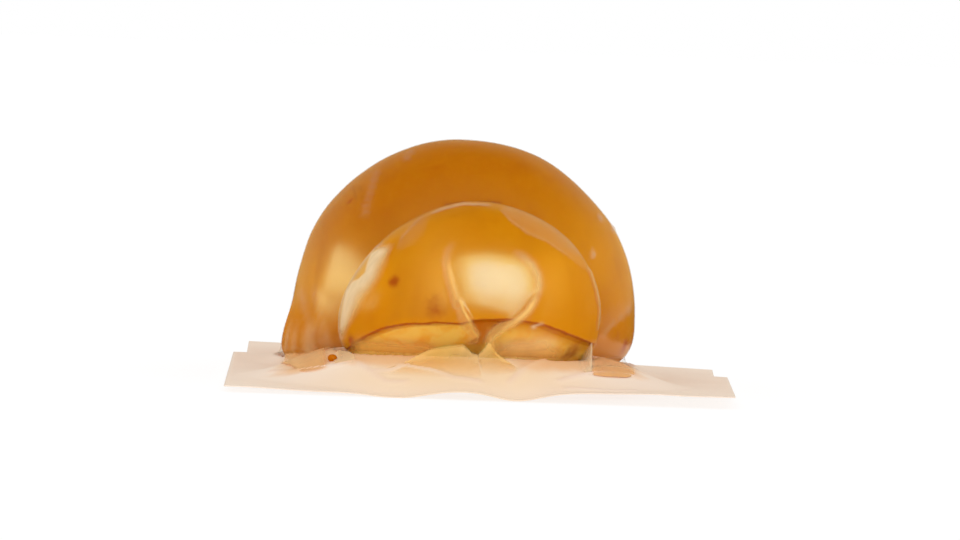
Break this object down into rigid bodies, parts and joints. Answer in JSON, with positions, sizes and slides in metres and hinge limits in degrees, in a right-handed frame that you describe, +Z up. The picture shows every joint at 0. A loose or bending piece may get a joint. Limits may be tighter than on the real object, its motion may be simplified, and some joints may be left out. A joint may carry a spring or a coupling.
{
  "type": "smoked scamorza cheese in a clear film pack",
  "caption": "Pear-shaped smoked cheese lying on its belly in clinging clear film, sealed to a flat peach web that spreads round its foot.",
  "frame": {"origin": "bottom centre of the pack's bounding box, on the surface the belly rests on", "axes": "+Z up, +Y towards the round body and the back of the pack, -Y towards the small head, +X to the right seen from the head"},
  "size_m": [0.1214, 0.16, 0.0577],
  "materials": {
    "cheese": "smoked amber rind under clinging film",
    "film": "clear pliable film",
    "web": "pale peach satin film"
  },
  "bodies": {
    "root": {"wrapped_cheese": "cheese", "base_web": "web"}
  },
  "joints": []
}
